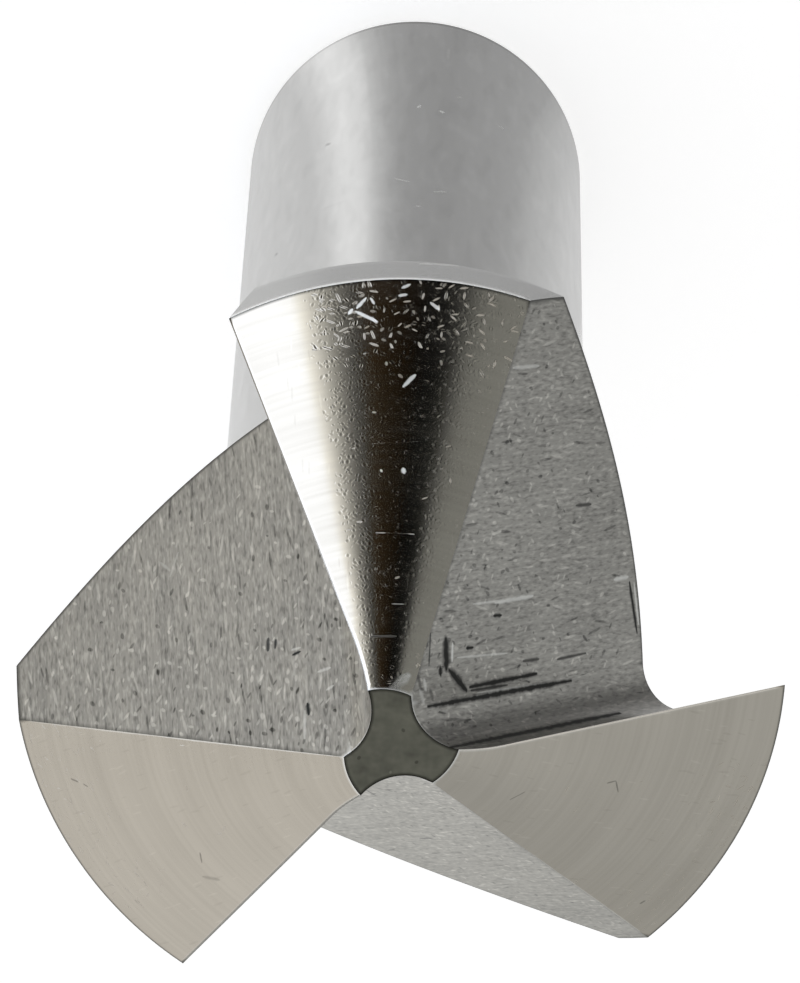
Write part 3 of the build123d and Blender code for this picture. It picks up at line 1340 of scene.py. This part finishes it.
# The margin's edge highlight paints the glints along its top and bottom edges.
MARGIN = GroundFinish("margin_ground", (0.72, 0.72, 0.71), (0.6, 0.6, 0.59), 0.2,
                      line_spacing=0.1, line_length=10.0, line_tone=0.2,
                      edge_highlight=(0.95, 0.95, 0.94), seed=5.0, scratches_and_glints=MARGIN_GLINTS)
# The tip's edge shade paints the black line round the tip.
TIP = GroundFinish("tip_matte", (0.3, 0.3, 0.24), (0.12, 0.12, 0.095), 0.38,
                   line_spacing=0.25, line_length=0.5, line_tone=0.2, cloud_size=0.5,
                   cloud_tone=0.6, strokes=(SPECKS,), edge_shade=(0.01, 0.01, 0.009), seed=17.0)

FINISHES = {
    Surface.SHANK_END: MARGIN,
    Surface.SHANK: SHANK,
    Surface.BACK: SHANK,
    Surface.MARGIN: MARGIN,
    Surface.TIP: TIP,
    Surface.LAND: LAND,
    Surface.WALL: WALL,
    Surface.ROOT: WALL,
    Surface.RAKE: WALL,
}

SOFT_EDGES = {
    frozenset((Surface.LAND, Surface.RAKE)),
    frozenset((Surface.LAND, Surface.ROOT)),
    frozenset((Surface.WALL, Surface.ROOT)),
    frozenset((Surface.ROOT, Surface.RAKE)),
}

# Painted highlight (above 0) and painted shade (below 0) along the edge of the first kind of face
# where it meets the second. They stand in for what the rounded edges reflect.
PAINTED_EDGE_TONES = {
    (Surface.SHANK, Surface.SHANK_END): -0.6,
    (Surface.TIP, Surface.WALL): -1.0,
    (Surface.TIP, Surface.ROOT): -1.0,
    (Surface.TIP, Surface.LAND): -0.9,
    (Surface.TIP, Surface.RAKE): -1.0,
    (Surface.WALL, Surface.TIP): 0.8,
    (Surface.ROOT, Surface.TIP): 0.8,
    (Surface.LAND, Surface.TIP): 0.7,
    (Surface.LAND, Surface.MARGIN): -1.0,
    (Surface.LAND, Surface.RAKE): 0.3,
    (Surface.LAND, Surface.ROOT): 0.4,
    (Surface.ROOT, Surface.LAND): -1.0,
    (Surface.RAKE, Surface.LAND): -0.6,
    (Surface.WALL, Surface.LAND): -0.5,
    (Surface.WALL, Surface.MARGIN): -1.0,
    (Surface.WALL, Surface.BACK): -1.0,
    (Surface.ROOT, Surface.BACK): -1.0,
    (Surface.MARGIN, Surface.LAND): 1.0,
    (Surface.MARGIN, Surface.BACK): 0.25,
}


# ---------------------------------------------------------------- the bit


def finish_input(kind: Surface) -> str:
    """Name of the cutting tree's input for one kind of face."""
    return f"{kind.name.title()} finish"


@dataclass
class CountersinkBit:
    """The whole bit: blank, three relieved lands and three flutes.

    Two faces belong to one region if they meet at less than region_angle, and are shaded
    as one if they meet at less than smooth_angle. The patterns of two regions lie
    region_gap apart. The middle of each land trails its cutting edge by land_middle.
    """

    blank: TurnedBlank = field(default_factory=TurnedBlank)
    flute_count: int = 3
    region_angle: float = 20.0
    smooth_angle: float = 12.0
    region_gap: float = 40.0
    land_middle: float = 21.0

    @property
    def pitch(self) -> float:
        """Degrees from one cutting edge to the next."""
        return 360 / self.flute_count

    def cutting_tree(self) -> Tree:
        """Geometry Nodes tree that repeats both tools round the axis and cuts with them.

        Returns:
            The tree, with an input for each tool, the count and each finish.
        """
        inputs = {"Blank": "NodeSocketGeometry", "Relief tool": "NodeSocketObject",
                  "Flute tool": "NodeSocketObject", "Flute count": "NodeSocketInt"}
        inputs |= {finish_input(kind): "NodeSocketMaterial" for kind in FINISHES}
        tree = new_group("cut_lands_and_flutes", inputs, {"Bit": "NodeSocketGeometry"},
                         "GeometryNodeTree")
        given = tree.nodes["in"].outputs
        count = given["Flute count"]
        turn = sum_up(tree, "DIVIDE", math.tau, count)
        index = add_node(tree, "GeometryNodeInputIndex").outputs[0]
        angle = add_node(tree, "ShaderNodeCombineXYZ",
                         {2: sum_up(tree, "MULTIPLY", index, turn)}).outputs[0]
        body = given["Blank"]
        for tool_name in ("Relief tool", "Flute tool"):
            tool = add_node(tree, "GeometryNodeObjectInfo", {"Object": given[tool_name]})
            stands = add_node(tree, "GeometryNodePoints", {"Count": count}).outputs[0]
            ring = add_node(tree, "GeometryNodeInstanceOnPoints",
                            {"Points": stands, "Instance": tool.outputs["Geometry"],
                             "Rotation": angle}).outputs[0]
            cut = add_node(tree, "GeometryNodeMeshBoolean",
                           {"Mesh 1": body, "Mesh 2": ring, "Self Intersection": True},
                           operation="DIFFERENCE", solver="EXACT")
            body = cut.outputs["Mesh"]
        body = add_node(tree, "GeometryNodeRealizeInstances", {0: body}).outputs[0]
        stored = add_node(tree, "GeometryNodeInputNamedAttribute", {"Name": "surface"},
                          data_type="INT").outputs["Attribute"]
        for kind in FINISHES:
            chosen = add_node(tree, "FunctionNodeCompare", {2: stored, 3: int(kind)},
                              data_type="INT", operation="EQUAL").outputs[0]
            body = add_node(tree, "GeometryNodeSetMaterial",
                            {"Geometry": body, "Selection": chosen,
                             "Material": given[finish_input(kind)]}).outputs[0]
        tree.links.new(body, tree.nodes["out"].inputs["Bit"])
        return tree

    def cut(self, effects: Effects) -> bpy.types.Object:
        """Cut the blank with the repeated tools.

        Args:
            effects: The shared shader groups.

        Returns:
            The cut bit as a plain mesh.
        """
        stock = self.blank.build()
        relief = ReliefTool(self.blank, pitch=self.pitch).build()
        flute = FluteTool(self.blank).build()
        tree = self.cutting_tree()
        values = {"Relief tool": relief, "Flute tool": flute, "Flute count": self.flute_count}
        made = {finish.name: finish.material(effects)
                for finish in dict.fromkeys(FINISHES.values())}
        values |= {finish_input(kind): made[finish.name] for kind, finish in FINISHES.items()}
        for tool in (stock, relief, flute):
            tool.data.materials.append(made[SHANK.name])
        modifier = stock.modifiers.new("cutting", "NODES")
        modifier.node_group = tree
        for item in tree.interface.items_tree:
            if item.in_out == "INPUT" and item.name in values:
                modifier[item.identifier] = values[item.name]
        bpy.context.view_layer.update()
        graph = bpy.context.evaluated_depsgraph_get()
        mesh = bpy.data.meshes.new_from_object(stock.evaluated_get(graph))
        mesh.name = "countersink_bit_ground"
        piece = bpy.data.objects.new("countersink_bit_ground", mesh)
        bpy.context.scene.collection.objects.link(piece)
        for tool in (stock, relief, flute):
            bpy.data.objects.remove(tool, do_unlink=True)
        return piece

    def sheet_for(self, kind: int, middle: Vector, facing: Vector) -> FlatSheet | None:
        """Flat layout of the region that a kind of face belongs to.

        Args:
            kind: Kind of face.
            middle: Rough middle of the region, in millimetres.
            facing: Rough direction that the region faces.

        Returns:
            The layout, or None for a face that stays as it was cut.
        """
        if kind not in FACET_STEPS:
            return None
        step = FACET_STEPS[kind]
        blank, flute, relief = self.blank, FluteTool(self.blank), ReliefTool(self.blank)
        half = math.radians(flute.flute_angle / 2)
        if kind == Surface.TIP:
            return FlatSheet(Matrix.Translation((0, 0, blank.overall_length)), step)
        if kind == Surface.MARGIN:
            around = math.atan2(middle.y, middle.x)
            return RimSheet(Matrix(), step, blank.head_radius, around)
        if kind == Surface.LAND:
            pitch, trail = math.radians(self.pitch), math.radians(self.land_middle)
            lead = pitch * round((math.atan2(middle.y, middle.x) + trail) / pitch)
            half_point = math.radians(blank.point_angle / 2)
            apex = blank.overall_length + blank.tip_flat_diameter / 2 / blank.slope
            frame = Matrix.Rotation(lead, 4, "Z") @ Matrix.Translation(
                (0, relief.relief_offset, apex))
            return ConeSheet(frame, step, middle=-trail, half_angle=half_point)
        across = {Surface.WALL: Vector((math.sin(half), math.cos(half), 0)),
                  Surface.RAKE: Vector((math.sin(half), -math.cos(half), 0)),
                  Surface.ROOT: Vector((1, 0, 0))}[kind]
        turns = [Matrix.Rotation(math.radians(self.pitch * count), 4, "Z") @ flute.place()
                 for count in range(self.flute_count)]
        place = max(turns, key=lambda turn: (turn.to_3x3() @ across).dot(facing))
        if kind == Surface.ROOT:
            centre = Matrix.Translation((flute.root_radius / math.sin(half), 0, 0))
            return DrumSheet(place @ centre, step, flute.root_radius, math.pi)
        side = -1.0 if kind == Surface.WALL else 1.0
        arm = Vector((math.cos(half), side * math.sin(half), 0))
        plane = Matrix((Vector((0, 0, 1)), arm, Vector((0, 0, 1)).cross(arm))).transposed()
        return FlatSheet(place @ plane.to_4x4(), step)

    def face_regions(self, shell: bmesh.types.BMesh) -> list[list[bmesh.types.BMFace]]:
        """Group the faces that one tool left in one pass.

        Args:
            shell: The whole bit.

        Returns:
            Faces of each region.
        """
        stored = shell.faces.layers.int["surface"]
        limit = math.radians(self.region_angle)
        left, regions = set(shell.faces), []
        for first in shell.faces:
            if first not in left:
                continue
            left.remove(first)
            region, edge = [], [first]
            while edge:
                face = edge.pop()
                region.append(face)
                near = dict.fromkeys(other for line in face.edges for other in line.link_faces
                                     if other in left and other[stored] == face[stored]
                                     and line.calc_face_angle(0) < limit)
                left.difference_update(near)
                edge += near
            regions.append(region)
        return regions

    def finish_faces(self, piece: bpy.types.Object) -> None:
        """Lay even facets on each region and store the lay of its tool marks.

        Three attributes are stored. "sheet" is the place on the region laid out flat, "lay"
        is the distance along and across the tool marks, and "edge" is the tone of the painted
        highlight or painted shade line along an edge.

        Args:
            piece: The cut bit.
        """
        shell = bmesh.new()
        shell.from_mesh(piece.data)
        facets = EvenFacets()
        bmesh.ops.remove_doubles(shell, verts=shell.verts, dist=facets.shortest * MM)
        bmesh.ops.dissolve_degenerate(shell, edges=shell.edges, dist=facets.flattest * MM)
        stored = shell.faces.layers.int["surface"]
        lay = shell.loops.layers.float_vector.new("lay")
        flat_place = shell.loops.layers.float_vector.new("sheet")
        edge = shell.loops.layers.float.new("edge")
        regions, plans = self.face_regions(shell), []
        facets.split_borders(regions)
        for region in regions:
            middle = sum((face.calc_center_median() for face in region), Vector()) / len(region)
            facing = sum((face.normal * face.calc_area() for face in region), Vector())
            kind = region[0][stored]
            plans.append((region, self.sheet_for(kind, middle / MM, facing.normalized()), kind))
        shared = set()
        for number, (region, sheet, kind) in enumerate(plans):
            if sheet is not None:
                region = facets.refit(shell, region, sheet, kind)
                shared.update(region)
            for face in region:
                self.mark_face(face, sheet, number, lay, flat_place)
        bmesh.ops.recalc_face_normals(shell, faces=shell.faces)
        for face in shell.faces:
            face.smooth = face[stored] != Surface.SHANK_END
            # Each corner takes the strongest painted highlight or painted shade tone of the faces
            # it touches, so the line fades out across the band.
            for loop in face.loops:
                near = {other[stored] for other in loop.vert.link_faces}
                tones = [PAINTED_EDGE_TONES.get((face[stored], kind), 0.0) for kind in near]
                laid = face in shared or face[stored] == Surface.SHANK
                loop[edge] = max(tones, key=abs) if laid else 0.0
        limit = math.radians(self.smooth_angle)
        for line in shell.edges:
            kinds = frozenset(face[stored] for face in line.link_faces)
            line.smooth = kinds in SOFT_EDGES or line.calc_face_angle(0) < limit
        shell.to_mesh(piece.data)
        shell.free()

    def mark_face(self, face: bmesh.types.BMFace, sheet: FlatSheet | None, number: int,
                  lay: bmesh.types.BMLayerItem, flat_place: bmesh.types.BMLayerItem) -> None:
        """Store the lay and the flat place on the corners of a face.

        Args:
            face: Face to mark.
            sheet: Its flat layout, or None for a turned face.
            number: Number of its region, which keeps the patterns of regions apart.
            lay: Layer for the lay.
            flat_place: Layer for the flat place.
        """
        middle = face.calc_center_median()
        around = math.atan2(middle.y, middle.x)
        for loop in face.loops:
            point = loop.vert.co / MM
            if sheet is None:
                turn = turned_by(math.atan2(point.y, point.x), around)
                loop[flat_place] = (turn * math.hypot(point.x, point.y), point.z, 0)
                loop[lay] = point
            else:
                flat = sheet.flatten(point)
                along, across = sheet.lay(flat)
                loop[flat_place] = (flat.x, flat.y, self.region_gap * number)
                loop[lay] = (along, self.region_gap * number, across)

    def build(self, effects: Effects) -> bpy.types.Object:
        """Make the bit and hand it to the frame.

        Args:
            effects: The shared shader groups.

        Returns:
            The finished piece.
        """
        piece = self.cut(effects)
        self.finish_faces(piece)
        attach(piece, BODY)
        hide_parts(NODE)
        log.info("%s: %d faces, %d finishes", piece.name, len(piece.data.polygons),
                 len(piece.data.materials))
        return piece


# ---------------------------------------------------------------- studio


def stage_object(name: str, points: list[Point], faces: list[list[int]],
                 paint: bpy.types.Material) -> bpy.types.Object:
    """Object of the stage, with one material that is never sampled as a lamp.

    Args:
        name: Name of the object and its mesh.
        points: Corner points in metres.
        faces: Corner numbers of each face.
        paint: Its material.

    Returns:
        The linked object.
    """
    mesh = bpy.data.meshes.new(name)
    mesh.from_pydata(points, [], faces)
    paint.cycles.emission_sampling = "NONE"
    mesh.materials.append(paint)
    made = bpy.data.objects.new(name, mesh)
    bpy.context.scene.collection.objects.link(made)
    return made


@dataclass(frozen=True)
class Card:
    """Studio card that only the steel sees, as a flag or a bounce.

    It is a strip between two rings round the bit, each given as a radius and a height in
    metres, so it may stand, lie or hang overhead. Its stops give the tone at directions
    round the bit, in degrees.
    """

    name: str
    near: Span
    far: Span
    stops: tuple[Span, ...]
    tint: Tint = (1.0, 1.0, 1.0)
    longest: float = 4.0

    def build(self) -> bpy.types.Object:
        """Put the card up.

        Returns:
            The card.
        """
        turns = []
        for (start, first), (end, last) in zip(self.stops, self.stops[1:]):
            steps = max(1, round(abs(end - start) / self.longest))
            turns += [(start + (end - start) * step / steps, first + (last - first) * step / steps)
                      for step in range(steps)]
        turns.append(self.stops[-1])
        points = [tuple(polar(ring[0], turn, ring[1]))
                  for turn, _ in turns for ring in (self.near, self.far)]
        faces = [[2 * step, 2 * step + 1, 2 * step + 3, 2 * step + 2]
                 for step in range(len(turns) - 1)]
        paint, tree = new_material(self.name)
        tone = add_node(tree, "ShaderNodeAttribute", attribute_name="tone",
                        attribute_type="GEOMETRY").outputs["Fac"]
        glow = add_node(tree, "ShaderNodeEmission", {"Color": (*self.tint, 1), "Strength": tone})
        add_node(tree, "ShaderNodeOutputMaterial", {"Surface": glow.outputs[0]})
        card = stage_object(self.name, points, faces, paint)
        stored = card.data.attributes.new("tone", "FLOAT", "POINT")
        stored.data.foreach_set("value", [tone for _, tone in turns for _ in range(2)])
        card.visible_camera = False
        card.visible_diffuse = False
        card.visible_shadow = False
        return card


@dataclass
class Studio:
    """Floor, light, cards and camera."""

    floor_half: float = 1.6
    floor_tone: float = 0.8
    floor_lift: float = 0.45
    floor_roughness: float = 0.9
    floor_gloss: float = 0.1
    world_strength: float = 0.75
    camera_place: Point = (-0.003905, 0.094571, 0.396944)
    camera_turn: float = 2.288
    camera_tilt: float = -14.742
    camera_roll: float = 2.051
    lens: float = 491.64
    sensor_width: float = 36.0
    clip: Span = (0.01, 10.0)
    cards: tuple[Card, ...] = (
        Card("window_card", (0.2, 0.0), (0.3, 0.5), ((112, 2.6), (190, 2.6)),
             (0.925, 1.0, 1.15)),
        Card("window_edge", (0.26, 0.0), (0.26, 0.22),
             ((113, 2.6), (110, 1.65), (108, 1.0), (106, 0.56), (104, 0.28), (102, 0.13),
              (99, 0.06)), (0.97, 1.0, 1.0)),
        Card("dark_flag", (0.26, 0.0), (0.26, 0.19), ((99, 0.06), (95, 0.03), (88, 0.006)),
             (1.0, 0.65, 0.32)),
        Card("grey_flag", (0.26, 0.0), (0.26, 0.19),
             ((88, 0.006), (83, 0.008), (81, 0.03), (79.5, 0.11), (78, 0.25), (76, 0.38),
              (72, 0.43), (60, 0.48), (50, 0.5)), (0.88, 0.93, 0.94)),
        Card("right_flag", (0.25, 0.0), (0.25, 0.12),
             ((-95, 0.66), (-50, 0.68), (-33, 0.75), (20, 0.8)), (0.97, 1.0, 1.02)),
        Card("overhead_flag", (0.0, 0.45), (0.3, 0.45), ((0, 0.28), (360, 0.28))),
        Card("right_sheet", (0.062, 0.0004), (0.249, 0.0004), ((-95, 0.66), (45, 0.66)),
             (0.98, 1.0, 1.0)),
        Card("root_sheet", (0.032, 0.0004), (0.062, 0.0004),
             ((-30, 0.32), (8, 0.28), (14, 0.13), (26, 0.09), (36, 0.03), (54, 0.03),
              (60, 0.5), (95, 0.6))),
        Card("left_sheet", (0.055, 0.0004), (0.195, 0.0004), ((105, 0.66), (190, 0.66)),
             (1.0, 0.965, 0.87)),
        Card("lower_sheet", (0.034, 0.0004), (0.06, 0.0004),
             ((-140, 0.8), (-100, 0.76), (-96, 0.7), (-88, 0.58), (-60, 0.58)),
             (1.0, 1.0, 0.96)),
        Card("margin_sheet", (0.0165, 0.0003), (0.031, 0.0003),
             ((230, 0.8), (160, 0.65), (125, 0.57), (118, 0.5), (112, 0.43), (105, 0.42),
              (86, 0.395), (60, 0.4), (30, 0.42), (-30, 0.5))),
        Card("shank_sheet", (0.004, 0.0003), (0.016, 0.0003),
             ((230, 0.85), (215, 0.8), (200, 0.72), (165, 0.7), (156, 0.69), (148, 0.68),
              (140, 0.78), (134, 0.9), (128, 0.98), (122, 0.92), (118, 0.84), (114, 0.67),
              (108, 0.52), (102, 0.44), (95, 0.39), (80, 0.365), (65, 0.39), (52, 0.4),
              (40, 0.43), (28, 0.53), (0, 0.66), (-30, 0.75))),
    )

    def light_path_share(self, tree: Tree) -> Socket:
        """One for rays from the camera and for rays that steel or glass sends on.

        Args:
            tree: Tree that gets the nodes.

        Returns:
            The share, 0 or 1.
        """
        path = add_node(tree, "ShaderNodeLightPath").outputs
        share = sum_up(tree, "MAXIMUM", path["Is Camera Ray"], path["Is Glossy Ray"])
        return sum_up(tree, "MAXIMUM", share, path["Is Transmission Ray"])

    def build_floor(self) -> bpy.types.Object:
        """Plain pale floor that keeps the bit's shadow.

        Returns:
            The floor.
        """
        half = self.floor_half
        corners = [(-half, -half, 0), (half, -half, 0), (half, half, 0), (-half, half, 0)]
        paint, tree = new_material("floor_paper")
        tone = (self.floor_tone,) * 3 + (1,)
        lift = sum_up(tree, "MULTIPLY", self.light_path_share(tree), self.floor_lift)
        paper = add_node(tree, "ShaderNodeBsdfPrincipled",
                         {"Base Color": tone, "Roughness": self.floor_roughness,
                          "Specular IOR Level": self.floor_gloss,
                          "Emission Color": (1, 1, 1, 1), "Emission Strength": lift})
        add_node(tree, "ShaderNodeOutputMaterial", {"Surface": paper.outputs[0]})
        floor = stage_object("floor", corners, [[0, 1, 2, 3]], paint)
        return floor

    def build_world(self) -> None:
        """Even white surroundings, a little brighter where the camera or steel looks."""
        world = bpy.data.worlds.new("studio")
        bpy.context.scene.world = world
        world.use_nodes = True
        tree = world.node_tree
        tree.nodes.clear()
        extra = sum_up(tree, "MULTIPLY", self.light_path_share(tree), 1 - self.world_strength)
        strength = sum_up(tree, "ADD", extra, self.world_strength)
        sky = add_node(tree, "ShaderNodeBackground", {"Color": (1, 1, 1, 1), "Strength": strength})
        add_node(tree, "ShaderNodeOutputWorld", {"Surface": sky.outputs[0]})

    def build_camera(self) -> None:
        """Camera above the tip, leaning so that the shank shows behind the head."""
        data = bpy.data.cameras.new("camera")
        data.lens = self.lens
        data.sensor_width = self.sensor_width
        data.clip_start, data.clip_end = self.clip
        camera = bpy.data.objects.new("camera", data)
        turn = (
            Matrix.Rotation(math.radians(self.camera_turn), 4, "Z")
            @ Matrix.Rotation(math.radians(self.camera_tilt), 4, "X")
            @ Matrix.Rotation(math.radians(self.camera_roll), 4, "Z")
        )
        camera.matrix_world = Matrix.Translation(self.camera_place) @ turn
        bpy.context.scene.collection.objects.link(camera)
        bpy.context.scene.camera = camera

    def build(self) -> None:
        """Set up the whole studio."""
        self.build_floor()
        self.build_world()
        for card in self.cards:
            card.build()
            log.info("%s reaches from %.0f to %.0f degrees", card.name, card.stops[0][0],
                     card.stops[-1][0])
        self.build_camera()
        bpy.context.scene.view_settings.view_transform = "Standard"


def main() -> None:
    """Build the bit and the studio round it."""
    logging.basicConfig(level=logging.INFO, format="%(message)s")
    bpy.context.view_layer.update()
    effects = Effects()
    CountersinkBit().build(effects)
    Studio().build()


if __name__ == "__main__":
    main()
